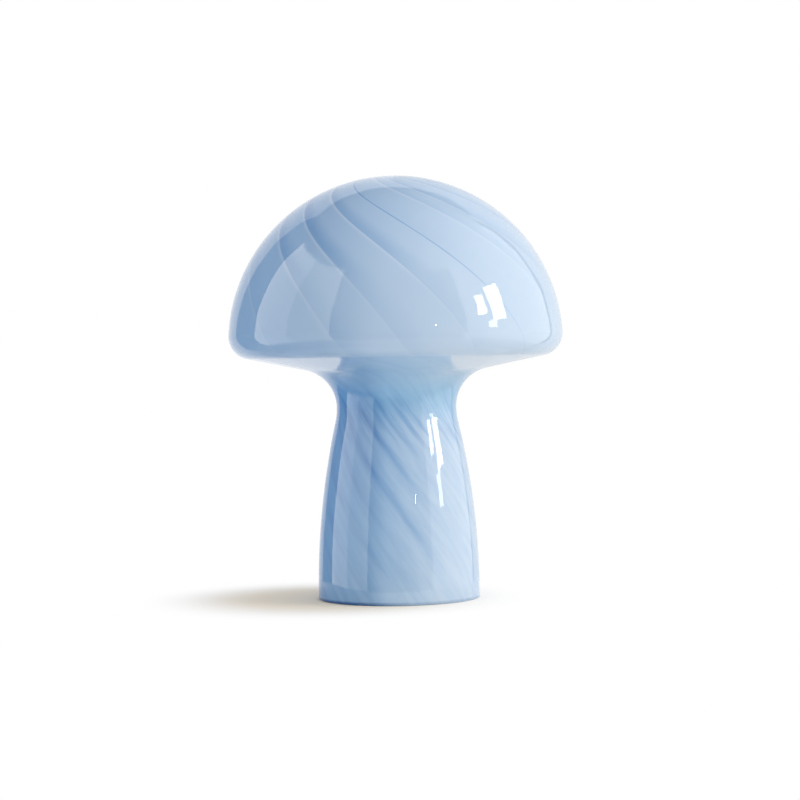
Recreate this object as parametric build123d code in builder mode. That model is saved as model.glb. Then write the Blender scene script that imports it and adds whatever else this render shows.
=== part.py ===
from build123d import *
import os
from math import atan2, cos, degrees, radians, sin, sqrt

# Mushroom table lamp: one blown glass body, cap and stem in one, stands over a lamp fitting.
# The fitting is a pressed steel plate on rubber feet. It carries an E27 lampholder and a bulb,
# and three leaf springs on it centre the glass. The glass lifts straight off, and the bulb
# unscrews. Frame: Z up, origin on the table under the lamp's axis, the cord outlet at +Y.
# All sizes are in millimetres.

# ---- glass body ----
lamp_height = 320.0
glass_wall = 4.0
dome_radius = 127.0  # the cap's top is part of a sphere
rim_round = 18.0  # where the dome turns under
underside_slope = 11.6  # degrees, rising outwards
neck_radius = 45.5  # the narrowest place
neck_height = 145.0
flare_round = 29.0  # hollow curve from the neck out to the underside
waist_round = 50.0  # hollow curve from the neck down to the stem
stem_slope = 13.0  # degrees from upright, where the stem leaves the waist
base_radius = 61.3
foot_polish = 1.2  # rounding of the ground foot's two edges
notch_width = 10.0  # cord outlet at the back of the foot
notch_height = 10.0

# ---- base plate ----
plate_gap = 2.4  # between the plate's edge and the glass
sheet = 1.2
foot_height = 4.0  # the plate's underside above the table
platform_radius = 22.0
platform_rise = 14.0
platform_run = 5.0  # how far the platform's wall spreads as it comes down
press_round = 2.0  # inside rounding of the pressed bends
flange_height = 7.0
channel_radius = 5.0  # inside of the arch that the cord runs under
vent_circle = 36.0
vent_radius = 1.5
vent_angles = [0, 60, 120, 180, 210, 240, 300, 330]

# ---- rubber feet ----
foot_circle = 45.5
foot_radius = 5.5
foot_round = 1.0
foot_stem_radius = 2.4
foot_barb_radius = 3.3
foot_barb_height = 3.0
foot_fit = 0.1  # stem in its hole
foot_angles = [60, 120, 240, 300]

# ---- leaf springs ----
spring_angles = [30, 150, 270]
spring_strip = 0.6
spring_width = 12.0
spring_foot_end = 31.0  # inner end of the flat foot, from the axis
spring_bend = 1.8  # rounding of the bends
spring_set_back = 8.5  # the leaf's root, in from its sleeve's outer face
spring_touch_height = 40.0  # where the sleeve meets the glass
spring_tip_rise = 9.0
spring_tip_back = 5.0
sleeve_wall = 1.0
sleeve_reach = 4.0  # how far the sleeve covers the leaf, each way from the touch height
sleeve_round = 0.6
glass_clearance = 0.4  # between the sleeves and the glass
rivet_circle = 37.0
rivet_radius = 1.6
rivet_head_radius = 3.2
rivet_head_height = 1.2
rivet_head_round = 1.0
rivet_tail_height = 0.8
rivet_fit = 0.05

# ---- threaded nipple, its nut, washer and bush ----
nipple_radius = 4.95  # M10 x 1
nipple_bore = 4.0
nipple_above = 9.0  # above the platform, inside the lampholder
nipple_below = 6.0  # below the platform
nipple_fit = 0.15  # in the platform's hole and the washer's
nut_across_flats = 14.0
nut_height = 3.2
nut_chamfer = 0.6
washer_radius = 8.0
washer_thickness = 0.8
washer_teeth = 12
tooth_depth = 1.1
bush_wall = 0.8
bush_flange = 1.0
bush_flange_round = 0.5
bush_flange_radius = 6.0
bush_length = 8.0  # the bush's tube, inside the nipple

# ---- lampholder ----
holder_radius = 19.0
holder_wall = 2.2
hub_radius = 8.0
hub_height = 10.0  # the threaded boss, inside the dome
hub_step = 7.0  # the hub's straight side, below the dome
dome_height = 22.0  # hub and dome together
spigot_height = 4.0
spigot_wall = 1.4
spigot_fit = 0.15
skirt_lip = 2.0  # the rim turns in over the shell
skirt_ledge = 2.2  # the step that clamps the insert
ledge_thickness = 1.6
skirt_ribs = 24
rib_radius = 0.7
rib_margin = 4.0  # plain bands above and below the ribs
skirt_round = 1.2
insert_height = 8.0
insert_fit = 0.15
core_hole_radius = 3.0
contact_recess = 3.0  # under the tongue, so that it can give
terminal_offset = 9.0
terminal_drop = 7.0  # terminal tabs, below the insert
contact_strip = 0.6
contact_bend = 0.9
contact_width = 5.0
contact_rise = 5.6  # the tongue's crown above the insert
contact_heel = 1.6  # how far the tongue stands up before it turns in
crown_length = 5.0
crown_tail = 2.0
slot_fit = 0.2
shell_wall = 0.4
shell_height = 22.0
shell_floor_hole = 10.6
shell_gap = 0.3  # between the bulb's cap and the shell
shell_tab_reach = 12.6  # outer end of the side contact, on the shell's floor
screw_head_radius = 2.6
screw_head_height = 2.0
screw_radius = 1.5
screw_length = 5.0
screw_slot_width = 0.7
screw_slot_depth = 0.8
grub_radius = 1.5
grub_length = 3.0
grub_height = 3.5  # above the platform
grub_socket = 1.5  # across flats
grub_socket_depth = 1.4

# ---- bulb, E27, pear shape ----
bulb_length = 108.0
globe_radius = 30.0
globe_wall = 1.2
cap_radius = 13.1
cap_wall = 0.4
cap_height = 26.0  # contact tip to the housing
cap_cone_height = 4.0
tip_radius = 4.6
tip_height = 1.4
tip_round = 0.8
insulator_radius = 10.2
insulator_height = 3.2
insulator_taper = 3.6
insulator_plug = 1.5  # how far it fills the cap's lower end
skirt_clearance = 2.0  # from the skirt's rim up to the bulb's housing
housing_neck_radius = 13.9
housing_top_radius = 27.5
housing_wall = 2.6
spigot_depth = 12.0  # how far the housing's neck goes down inside the cap
board_thickness = 1.6
board_drop = 3.0  # the board's underside below the housing's rim
board_radius = 25.0
chip_count = 12
chip_circle = 17.0
chip_length = 3.5
chip_width = 2.8
chip_height = 0.8
driver_width = 17.0
driver_length = 48.0
driver_thickness = 1.2
capacitor_radius = 4.0
capacitor_length = 12.0
capacitor_drop = 5.0  # its top below the driver board's

# ---- heights and radii that follow from these ----
ring_top = foot_height + sheet
platform_bottom = foot_height + platform_rise
platform_top = platform_bottom + sheet
plate_radius = base_radius - glass_wall - plate_gap
skirt_bottom = platform_top + dome_height
insert_bottom = skirt_bottom + spigot_height
insert_top = insert_bottom + insert_height
bulb_bottom = insert_top + contact_rise
cap_top = bulb_bottom + cap_height
skirt_top = cap_top - skirt_clearance
holder_bore = holder_radius - holder_wall
shell_bore = cap_radius + shell_gap
tip_top = bulb_bottom + tip_height
insulator_top = tip_top + insulator_height
globe_centre = bulb_bottom + bulb_length - globe_radius
globe_drop = sqrt(globe_radius**2 - housing_top_radius**2)
housing_top = globe_centre - globe_drop
board_bottom = housing_top - board_drop

os.makedirs("parts", exist_ok=True)


def save(piece, name):
    """Label a finished piece and write its STEP file."""
    piece.part.label = name
    export_step(piece.part, f"parts/{name}.step")


def radial_plane(azimuth):
    """An upright plane through the axis: its X runs outwards at the azimuth, its Y up."""
    turn = radians(azimuth)
    return Plane((0, 0, 0), x_dir=(cos(turn), sin(turn), 0), z_dir=(sin(turn), -cos(turn), 0))


def bent_strip(points, thickness, bend):
    """Side view of a bent strip: it lies on the left of the line through the points."""
    with BuildSketch() as side:
        with BuildLine():
            FilletPolyline(*points, radius=bend)
            offset(amount=thickness, side=Side.LEFT)
        make_face()
    return side.sketch


# ---------------------------------------------------------------- glass body
def waist_end(inset):
    """Where the waist's hollow curve hands over to the stem."""
    turn = radians(stem_slope)
    reach = waist_round + inset
    return (
        neck_radius + waist_round - reach * cos(turn),
        neck_height - reach * sin(turn),
    )


def stem_circle(inset):
    """Centre and radius of the stem's long bulging arc: it leaves the waist smoothly, ends at the foot."""
    turn = radians(stem_slope)
    top, foot = waist_end(inset), (base_radius - inset, 0)
    inward = (-cos(turn), -sin(turn))
    chord = (foot[0] - top[0], foot[1] - top[1])
    radius = (chord[0] ** 2 + chord[1] ** 2) / (2 * (chord[0] * inward[0] + chord[1] * inward[1]))
    return (top[0] + radius * inward[0], top[1] + radius * inward[1]), radius


def stem_radius(height, inset):
    """The stem's radius at a height below the waist."""
    centre, radius = stem_circle(inset)
    return centre[0] + sqrt(radius**2 - (height - centre[1]) ** 2)


def glass_profile(inset):
    """Half outline of the glass, moved inwards by the inset, with its rim rounded."""
    slope, turn = radians(underside_slope), radians(stem_slope)
    dome_centre = (0, lamp_height - dome_radius)
    dome = dome_radius - inset
    flare_centre = (neck_radius + flare_round, neck_height)
    waist_centre = (neck_radius + waist_round, neck_height)
    with BuildSketch() as half:
        with BuildLine():
            stem = TangentArc(
                waist_end(inset), (base_radius - inset, 0), tangent=(sin(turn), -cos(turn))
            )
            CenterArc(waist_centre, waist_round + inset, 180, stem_slope)
            flare = CenterArc(flare_centre, flare_round + inset, 180, underside_slope - 90)
            start = flare @ 1
            # the underside runs straight until it meets the dome's sphere
            offset_x, offset_y = start.X - dome_centre[0], start.Y - dome_centre[1]
            along = offset_x * cos(slope) + offset_y * sin(slope)
            run = sqrt(along**2 - offset_x**2 - offset_y**2 + dome**2) - along
            corner = (start.X + run * cos(slope), start.Y + run * sin(slope))
            Line(start, corner)
            corner_angle = degrees(atan2(corner[1] - dome_centre[1], corner[0]))
            cap = CenterArc(dome_centre, dome, corner_angle, 90 - corner_angle)
            Polyline(cap @ 1, (0, 0), stem @ 1)
        make_face()
        fillet(half.vertices().sort_by(Axis.X)[-1], rim_round - inset)
    return half.sketch


with BuildPart() as glass_body:
    for inset, mode in ((0, Mode.ADD), (glass_wall, Mode.SUBTRACT)):
        with BuildSketch(Plane.XZ):
            add(glass_profile(inset))
        revolve(axis=Axis.Z, mode=mode)
    fillet(glass_body.edges().group_by(Axis.Z)[0], foot_polish)
    with BuildSketch(Plane.XZ):
        Rectangle(notch_width, 2 * notch_height - notch_width)
        with Locations((0, notch_height - notch_width / 2)):
            Circle(notch_width / 2)
    extrude(amount=-2 * base_radius, mode=Mode.SUBTRACT)
save(glass_body, "glass_body")


# ---------------------------------------------------------------- base plate
with BuildPart() as base_plate:
    with BuildSketch(Plane.XZ):
        add(
            bent_strip(
                [
                    (nipple_radius + nipple_fit, platform_bottom),
                    (platform_radius, platform_bottom),
                    (platform_radius + platform_run, foot_height),
                    (plate_radius, foot_height),
                    (plate_radius, ring_top + flange_height),
                ],
                sheet,
                press_round + sheet,
            )
        )
    revolve(axis=Axis.Z)
    # the arch that the cord runs under, from the platform out to the back edge
    arch_start = platform_radius + platform_run / 2
    with BuildSketch(Plane.XZ.offset(-arch_start)):
        with Locations((0, foot_height)):
            Circle(channel_radius + sheet)
            Rectangle(
                2 * (channel_radius + sheet),
                channel_radius + sheet,
                align=(Align.CENTER, Align.MAX),
                mode=Mode.SUBTRACT,
            )
    extrude(amount=arch_start - plate_radius + sheet / 2)
    with BuildSketch(Plane.XZ.offset(-platform_radius)):
        with Locations((0, foot_height)):
            Circle(channel_radius)
    extrude(amount=-plate_radius, mode=Mode.SUBTRACT)
    # vents, and the holes for the feet and the springs' rivets
    for circle, angles, radius in (
        (vent_circle, vent_angles, vent_radius),
        (foot_circle, foot_angles, foot_stem_radius + foot_fit),
        (rivet_circle, spring_angles, rivet_radius + rivet_fit),
    ):
        for angle in angles:
            with BuildSketch(Plane.XY.offset(ring_top)):
                with PolarLocations(circle, 1, start_angle=angle):
                    Circle(radius)
            extrude(amount=-sheet, mode=Mode.SUBTRACT)
save(base_plate, "base_plate")

# ---------------------------------------------------------------- rubber feet
# Each is pushed into its hole: pad below the plate, stem in the hole, barb above.
with BuildPart() as foot:
    with BuildSketch(Plane.XZ):
        with BuildLine():
            pad = FilletPolyline(
                (0, 0),
                (foot_radius, 0),
                (foot_radius, foot_height),
                radius=foot_round,
            )
            Polyline(
                pad @ 1,
                (foot_stem_radius, foot_height),
                (foot_stem_radius, ring_top),
                (foot_barb_radius, ring_top),
                (foot_stem_radius / 2, ring_top + foot_barb_height),
                (0, ring_top + foot_barb_height),
                pad @ 0,
            )
        make_face()
    revolve(axis=Axis.Z)
with BuildPart() as rubber_feet:
    for angle in foot_angles:
        with PolarLocations(foot_circle, 1, start_angle=angle):
            add(foot.part)
save(rubber_feet, "rubber_feet")

# ---------------------------------------------------------------- leaf springs and sleeves
# The sleeve is flat and the glass is round, so its corners set how far out it may reach.
sleeve_half_width = spring_width / 2 + sleeve_wall
glass_reach = stem_radius(spring_touch_height, glass_wall) - glass_clearance
sleeve_face = sqrt(glass_reach**2 - sleeve_half_width**2)
leaf_face = sleeve_face - sleeve_wall
crown_reach = sleeve_reach + spring_bend
leaf_points = [
    (spring_foot_end, ring_top),
    (sleeve_face - spring_set_back, ring_top),
    (leaf_face, spring_touch_height - crown_reach),
    (leaf_face, spring_touch_height + crown_reach),
    (leaf_face - spring_tip_back, spring_touch_height + crown_reach + spring_tip_rise),
]
for number, angle in enumerate(spring_angles, 1):
    with BuildPart() as leaf_spring:
        with BuildSketch(radial_plane(angle).offset(-spring_width / 2)):
            add(bent_strip(leaf_points, spring_strip, spring_bend))
        extrude(amount=spring_width)
        with BuildSketch(Plane.XY.offset(ring_top + spring_strip)):
            with PolarLocations(rivet_circle, 1, start_angle=angle):
                Circle(rivet_radius + rivet_fit)
        extrude(amount=-spring_strip, mode=Mode.SUBTRACT)
    save(leaf_spring, f"leaf_spring_{number}")
    with BuildPart() as spring_sleeve:
        with BuildSketch(Plane.XY.offset(spring_touch_height - sleeve_reach)):
            with PolarLocations(leaf_face - spring_strip / 2, 1, start_angle=angle):
                RectangleRounded(
                    spring_strip + 2 * sleeve_wall,
                    2 * sleeve_half_width,
                    sleeve_round,
                )
                Rectangle(spring_strip, spring_width, mode=Mode.SUBTRACT)
        extrude(amount=2 * sleeve_reach)
    save(spring_sleeve, f"spring_sleeve_{number}")

# ---------------------------------------------------------------- rivets of the springs
with BuildPart() as rivet:
    with BuildSketch(Plane.XZ):
        with BuildLine():
            head = FilletPolyline(
                (0, ring_top + spring_strip + rivet_head_height),
                (rivet_head_radius, ring_top + spring_strip + rivet_head_height),
                (rivet_head_radius, ring_top + spring_strip),
                radius=rivet_head_round,
            )
            Polyline(
                head @ 1,
                (rivet_radius, ring_top + spring_strip),
                (rivet_radius, foot_height),
                (rivet_head_radius, foot_height),
                (rivet_head_radius - rivet_tail_height, foot_height - rivet_tail_height),
                (0, foot_height - rivet_tail_height),
                head @ 0,
            )
        make_face()
    revolve(axis=Axis.Z)
with BuildPart() as spring_rivets:
    for angle in spring_angles:
        with PolarLocations(rivet_circle, 1, start_angle=angle):
            add(rivet.part)
save(spring_rivets, "spring_rivets")

# ---------------------------------------------------------------- threaded nipple and what clamps it
nipple_bottom = platform_bottom - nipple_below
with BuildPart() as nipple:
    with BuildSketch(Plane.XY.offset(nipple_bottom)):
        Circle(nipple_radius)
        Circle(nipple_bore, mode=Mode.SUBTRACT)
    extrude(amount=nipple_below + sheet + nipple_above)
save(nipple, "nipple")

washer_bottom = platform_bottom - washer_thickness
with BuildPart() as lock_washer:
    with BuildSketch(Plane.XY.offset(washer_bottom)):
        Circle(washer_radius)
        Circle(nipple_radius + nipple_fit, mode=Mode.SUBTRACT)
        with PolarLocations(washer_radius, washer_teeth):
            Rectangle(2 * tooth_depth, tooth_depth, mode=Mode.SUBTRACT)
    extrude(amount=washer_thickness)
save(lock_washer, "lock_washer")

with BuildPart() as nipple_nut:
    with BuildSketch(Plane.XY.offset(washer_bottom - nut_height)):
        RegularPolygon(nut_across_flats / 2, 6, major_radius=False)
    extrude(amount=nut_height)
    # the corners are turned off at both faces, as on any hexagon nut
    with BuildSketch(Plane.XZ):
        with Locations((0, washer_bottom - nut_height / 2)):
            Rectangle(nut_across_flats / sqrt(3), nut_height, align=(Align.MIN, Align.CENTER))
        chamfer(vertices().sort_by(Axis.X)[-2:], nut_chamfer)
    revolve(axis=Axis.Z, mode=Mode.INTERSECT)
    with BuildSketch(Plane.XY.offset(washer_bottom)):
        Circle(nipple_radius)
    extrude(amount=-nut_height, mode=Mode.SUBTRACT)
save(nipple_nut, "nipple_nut")

with BuildPart() as cord_bush:
    with BuildSketch(Plane.XY.offset(nipple_bottom)):
        Circle(nipple_bore)
    extrude(amount=bush_length)
    with BuildSketch(Plane.XY.offset(nipple_bottom)):
        Circle(bush_flange_radius)
    extrude(amount=-bush_flange)
    fillet(cord_bush.edges().group_by(Axis.Z)[0], bush_flange_round)
    with BuildSketch(Plane.XY.offset(nipple_bottom - bush_flange)):
        Circle(nipple_bore - bush_wall)
    extrude(amount=bush_flange + bush_length, mode=Mode.SUBTRACT)
save(cord_bush, "cord_bush")

# ---------------------------------------------------------------- lampholder
# Cap: a threaded hub under a bowl, with a spigot that the skirt screws on to.
hub_corner = (hub_radius, platform_top + hub_step)
bowl_rise = skirt_bottom - hub_corner[1]
bowl_centre = (holder_radius**2 - hub_radius**2 - bowl_rise**2) / (2 * (holder_radius - hub_radius))
bowl_inside = holder_radius - holder_wall - bowl_centre
spigot_radius = holder_bore - spigot_fit
spigot_root = skirt_bottom - spigot_height
with BuildPart() as holder_cap:
    with BuildSketch(Plane.XZ):
        with BuildLine():
            Polyline((nipple_radius, platform_top), (hub_radius, platform_top), hub_corner)
            TangentArc((holder_radius, skirt_bottom), hub_corner, tangent=(0, -1))
            Polyline(
                (holder_radius, skirt_bottom),
                (spigot_radius, skirt_bottom),
                (spigot_radius, insert_bottom),
                (spigot_radius - spigot_wall, insert_bottom),
                (spigot_radius - spigot_wall, spigot_root),
                (bowl_centre + sqrt(bowl_inside**2 - spigot_height**2), spigot_root),
            )
            boss_foot = skirt_bottom - sqrt(bowl_inside**2 - (hub_radius - bowl_centre) ** 2)
            RadiusArc(
                (bowl_centre + sqrt(bowl_inside**2 - spigot_height**2), spigot_root),
                (hub_radius, boss_foot),
                bowl_inside,
            )
            Polyline(
                (hub_radius, boss_foot),
                (hub_radius, platform_top + hub_height),
                (nipple_radius, platform_top + hub_height),
                (nipple_radius, platform_top),
            )
        make_face()
    revolve(axis=Axis.Z)
    with BuildSketch(Plane.YZ):
        with Locations((0, platform_top + grub_height)):
            Circle(grub_radius)
    extrude(amount=hub_radius + grub_radius, mode=Mode.SUBTRACT)
save(holder_cap, "holder_cap")

with BuildPart() as grub_screw:
    with BuildSketch(Plane.YZ.offset(nipple_radius)):
        with Locations((0, platform_top + grub_height)):
            Circle(grub_radius)
    extrude(amount=grub_length)
    with BuildSketch(Plane.YZ.offset(nipple_radius + grub_length)):
        with Locations((0, platform_top + grub_height)):
            RegularPolygon(grub_socket / 2, 6, major_radius=False)
    extrude(amount=-grub_socket_depth, mode=Mode.SUBTRACT)
save(grub_screw, "grub_screw")

# Skirt: the ribbed barrel; its ledge clamps the insert on to the cap's spigot.
with BuildPart() as holder_skirt:
    with BuildSketch(Plane.XZ):
        with BuildLine():
            rim = FilletPolyline(
                (holder_radius, skirt_bottom),
                (holder_radius, skirt_top),
                (holder_bore - skirt_lip, skirt_top),
                radius=skirt_round,
            )
            Polyline(
                rim @ 1,
                (holder_bore - skirt_lip, skirt_top - holder_wall),
                (holder_bore, skirt_top - holder_wall),
                (holder_bore, insert_top + ledge_thickness),
                (holder_bore - skirt_ledge, insert_top + ledge_thickness),
                (holder_bore - skirt_ledge, insert_top),
                (holder_bore, insert_top),
                (holder_bore, skirt_bottom),
                rim @ 0,
            )
        make_face()
    revolve(axis=Axis.Z)
    with BuildSketch(Plane.XY.offset(skirt_bottom + rib_margin)):
        with PolarLocations(holder_radius, skirt_ribs):
            Circle(rib_radius)
        Circle(holder_radius - rib_radius, mode=Mode.SUBTRACT)
    extrude(amount=skirt_top - skirt_bottom - 2 * rib_margin)
save(holder_skirt, "holder_skirt")

# Insert: the ceramic block that carries the contacts.
with BuildPart() as holder_insert:
    with BuildSketch(Plane.XY.offset(insert_bottom)):
        Circle(holder_bore - insert_fit)
        Circle(core_hole_radius, mode=Mode.SUBTRACT)
        with Locations(
            (terminal_offset + contact_strip / 2, 0),
            (-terminal_offset - contact_strip / 2, 0),
        ):
            Rectangle(
                contact_strip + 2 * slot_fit,
                contact_width + 2 * slot_fit,
                mode=Mode.SUBTRACT,
            )
    extrude(amount=insert_height)
    with BuildSketch(Plane.XY.offset(insert_top)):
        SlotOverall(2 * terminal_offset - 2 * slot_fit, contact_width + 2 * slot_fit)
    extrude(amount=-contact_recess, mode=Mode.SUBTRACT)
save(holder_insert, "holder_insert")

with BuildPart() as screw_shell:
    with BuildSketch(Plane.XY.offset(insert_top)):
        Circle(shell_bore + shell_wall)
    extrude(amount=shell_height)
    with BuildSketch(Plane.XY.offset(insert_top + shell_wall)):
        Circle(shell_bore)
    extrude(amount=shell_height, mode=Mode.SUBTRACT)
    with BuildSketch(Plane.XY.offset(insert_top)):
        Circle(shell_floor_hole)
    extrude(amount=shell_wall, mode=Mode.SUBTRACT)
save(screw_shell, "screw_shell")

# Contacts: each is a brass strip through the insert, with a screw in the tab below it.
tab_bottom = insert_bottom - terminal_drop
screw_height = insert_bottom - terminal_drop / 2
tongue_points = [
    (terminal_offset + contact_strip, tab_bottom),
    (terminal_offset + contact_strip, insert_top + contact_heel),
    (crown_length / 2, bulb_bottom),
    (-crown_length / 2, bulb_bottom),
    (-crown_length / 2 - crown_tail, bulb_bottom - crown_tail),
]
side_points = [
    (-terminal_offset, tab_bottom),
    (-terminal_offset, insert_top + shell_wall + contact_strip),
    (-shell_tab_reach, insert_top + shell_wall + contact_strip),
]
for name, points in (("centre_contact", tongue_points), ("side_contact", side_points)):
    with BuildPart() as contact:
        with BuildSketch(Plane.XZ.offset(-contact_width / 2)):
            add(bent_strip(points, contact_strip, contact_bend))
        extrude(amount=contact_width)
        with BuildSketch(Plane.YZ.offset(points[0][0])):
            with Locations((0, screw_height)):
                Circle(screw_radius)
        extrude(amount=contact_strip, both=True, mode=Mode.SUBTRACT)
    save(contact, name)

with BuildPart() as terminal_screws:
    for side in (1, -1):
        face = side * (terminal_offset + contact_strip)
        with BuildSketch(Plane.YZ.offset(face)):
            with Locations((0, screw_height)):
                Circle(screw_head_radius)
        extrude(amount=side * screw_head_height)
        with BuildSketch(Plane.YZ.offset(face)):
            with Locations((0, screw_height)):
                Circle(screw_radius)
        extrude(amount=-side * screw_length)
        with BuildSketch(Plane.YZ.offset(face + side * screw_head_height)):
            with Locations((0, screw_height)):
                Rectangle(2 * screw_head_radius, screw_slot_width)
        extrude(amount=-side * screw_slot_depth, mode=Mode.SUBTRACT)
save(terminal_screws, "terminal_screws")


# ---------------------------------------------------------------- bulb
def cap_sheet():
    """Half section of the bulb's metal cap: a cone, then a straight shell."""
    return bent_strip(
        [
            (insulator_radius, insulator_top),
            (cap_radius, insulator_top + cap_cone_height),
            (cap_radius, cap_top),
        ],
        cap_wall,
        contact_bend,
    )


with BuildPart() as bulb_contact:
    with BuildSketch(Plane.XY.offset(bulb_bottom)):
        Circle(tip_radius)
    extrude(amount=tip_height)
    fillet(bulb_contact.edges().group_by(Axis.Z)[0], tip_round)
save(bulb_contact, "bulb_contact")

with BuildPart() as bulb_screw_cap:
    with BuildSketch(Plane.XZ):
        add(cap_sheet())
    revolve(axis=Axis.Z)
save(bulb_screw_cap, "bulb_screw_cap")

with BuildPart() as bulb_insulator:
    plug_top = insulator_top + insulator_plug
    plug_radius = insulator_radius + (cap_radius - insulator_radius) * insulator_plug / cap_cone_height
    with BuildSketch(Plane.XZ):
        with BuildLine():
            Polyline(
                (0, tip_top),
                (insulator_radius - insulator_taper, tip_top),
                (insulator_radius, insulator_top),
                (plug_radius, plug_top),
                (0, plug_top),
                close=True,
            )
        make_face()
        add(cap_sheet(), mode=Mode.SUBTRACT)
    revolve(axis=Axis.Z)
save(bulb_insulator, "bulb_insulator")


# Housing: a plastic cone that flares up to the globe, with a neck pressed into the cap.
with BuildPart() as bulb_housing:
    along_globe = (-globe_drop, -housing_top_radius)
    for inset, mode in ((0, Mode.ADD), (housing_wall, Mode.SUBTRACT)):
        with BuildSketch(Plane.XZ):
            with BuildLine():
                side = TangentArc(
                    (housing_top_radius - inset, housing_top),
                    (housing_neck_radius - inset, cap_top),
                    tangent=along_globe,
                )
                Polyline(side @ 1, (0, cap_top), (0, housing_top), side @ 0)
            make_face()
        revolve(axis=Axis.Z, mode=mode)
    with BuildSketch(Plane.XY.offset(cap_top)):
        Circle(cap_radius - cap_wall)
        Circle(cap_radius - cap_wall - housing_wall, mode=Mode.SUBTRACT)
    extrude(amount=-spigot_depth)
    with BuildSketch(Plane.XY.offset(board_bottom)):
        Circle(board_radius)
    extrude(amount=board_drop, mode=Mode.SUBTRACT)
save(bulb_housing, "bulb_housing")

with BuildPart() as bulb_globe:
    with BuildSketch(Plane.XZ):
        with Locations((0, globe_centre)):
            Circle(globe_radius)
            Circle(globe_radius - globe_wall, mode=Mode.SUBTRACT)
            Rectangle(
                2 * globe_radius,
                2 * globe_radius,
                align=(Align.MAX, Align.CENTER),
                mode=Mode.SUBTRACT,
            )
        with Locations((0, housing_top)):
            Rectangle(
                globe_radius,
                globe_radius,
                align=(Align.MIN, Align.MAX),
                mode=Mode.SUBTRACT,
            )
    revolve(axis=Axis.Z)
save(bulb_globe, "bulb_globe")

with BuildPart() as led_board:
    with BuildSketch(Plane.XY.offset(board_bottom)):
        Circle(board_radius)
        Rectangle(driver_width, driver_thickness, mode=Mode.SUBTRACT)
    extrude(amount=board_thickness)
save(led_board, "led_board")

with BuildPart() as led_chips:
    with BuildSketch(Plane.XY.offset(board_bottom + board_thickness)):
        with PolarLocations(chip_circle, chip_count):
            Rectangle(chip_length, chip_width)
    extrude(amount=chip_height)
save(led_chips, "led_chips")

# The driver board stands on edge in the housing, its top edge through a slot in the LED board.
driver_top = board_bottom + board_thickness
with BuildPart() as driver_board:
    with BuildSketch(Plane.XZ.offset(-driver_thickness / 2)):
        with Locations((0, driver_top)):
            Rectangle(driver_width, driver_length, align=(Align.CENTER, Align.MAX))
    extrude(amount=driver_thickness)
save(driver_board, "driver_board")

with BuildPart() as driver_capacitor:
    with BuildSketch(Plane.XY.offset(driver_top - capacitor_drop)):
        with Locations((0, -driver_thickness / 2 - capacitor_radius)):
            Circle(capacitor_radius)
    extrude(amount=-capacitor_length)
save(driver_capacitor, "driver_capacitor")
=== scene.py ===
import bmesh
import bpy
from math import atan2, cos, degrees, hypot, pi, radians, sin, sqrt
from mathutils import Matrix, Vector, noise


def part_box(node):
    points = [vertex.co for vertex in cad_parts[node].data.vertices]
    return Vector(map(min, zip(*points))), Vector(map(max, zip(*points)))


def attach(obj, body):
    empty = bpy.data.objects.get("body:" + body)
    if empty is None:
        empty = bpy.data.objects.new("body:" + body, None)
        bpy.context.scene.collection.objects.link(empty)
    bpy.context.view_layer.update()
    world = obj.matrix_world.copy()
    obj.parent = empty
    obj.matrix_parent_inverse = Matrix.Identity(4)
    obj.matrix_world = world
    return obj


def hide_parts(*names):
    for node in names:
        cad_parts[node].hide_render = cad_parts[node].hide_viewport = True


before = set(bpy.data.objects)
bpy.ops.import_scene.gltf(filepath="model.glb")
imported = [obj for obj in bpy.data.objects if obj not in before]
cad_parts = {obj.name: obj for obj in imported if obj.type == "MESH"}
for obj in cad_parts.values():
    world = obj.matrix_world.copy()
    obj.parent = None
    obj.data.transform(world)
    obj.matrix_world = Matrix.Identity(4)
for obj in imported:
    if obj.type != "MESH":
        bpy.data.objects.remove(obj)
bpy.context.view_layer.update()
scene = bpy.context.scene
scene.view_settings.view_transform = "Standard"
mm = 0.001  # sizes are written in millimetres and held in metres

# ---------------------------------------------------------------- camera
# A long lens 1.69 m in front of the lamp, at the height of the cap's underside. It is tipped
# down by one degree and leans by just under one, so the lamp leans a little to the left.
camera_place = Vector((2.7, -1688.0, 179.0)) * mm
camera_tip = radians(-0.98)
camera_lean = radians(-0.86)
camera_lens = 100.08

camera = bpy.data.objects.new("camera", bpy.data.cameras.new("camera"))
camera.data.sensor_width = 36.0
camera.data.lens = camera_lens
camera.matrix_world = (
    Matrix.Translation(camera_place)
    @ Matrix.Rotation(pi / 2 + camera_tip, 4, "X")
    @ Matrix.Rotation(camera_lean, 4, "Z")
)
scene.collection.objects.link(camera)
scene.camera = camera

# ---------------------------------------------------------------- studio
# A white room: past the lamp, the camera sees plain white. Gloss sees a white backdrop behind
# the lamp, walls at the left that the window warms, a bright wall with the window at the right,
# and the dim room on the camera's side. A darker gap parts each wall from the backdrop.
wall_edges = [  # degrees round from the camera, right is positive; colour from there on
    (-180, 1.05, 1.05, 1.05),
    (-142, 0.34, 0.44, 0.55),
    (-112, 2.75, 2.65, 2.40),  # a warm wall at the left, lit by the window
    (-80, 1.95, 1.90, 1.60),
    (-46, 0.06, 0.06, 0.06),
    (48, 1.40, 1.40, 1.40),
    (130, 0.08, 0.08, 0.08),
    (135, 0.92, 0.92, 0.92),
]
wall_top = 46.0  # degrees above the horizon
wall_fade = 2.0  # degrees over which the walls pass into the ceiling
ceiling_glows = [  # degrees round again, and how bright the ceiling is there, next to the walls
    (-180, 0.25),
    (10, 0.25),
    (55, 1.40),
    (120, 1.40),
    (140, 0.25),
    (180, 0.25),
]
overhead_glow = 0.25
overhead_from = 80.0  # up to here the ceiling fades to the glow of its middle
underfoot_glow = 0.70  # what gloss sees below, past the near part of the table top
underfoot_from = -24.0
underfoot_fade = 10.0
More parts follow.
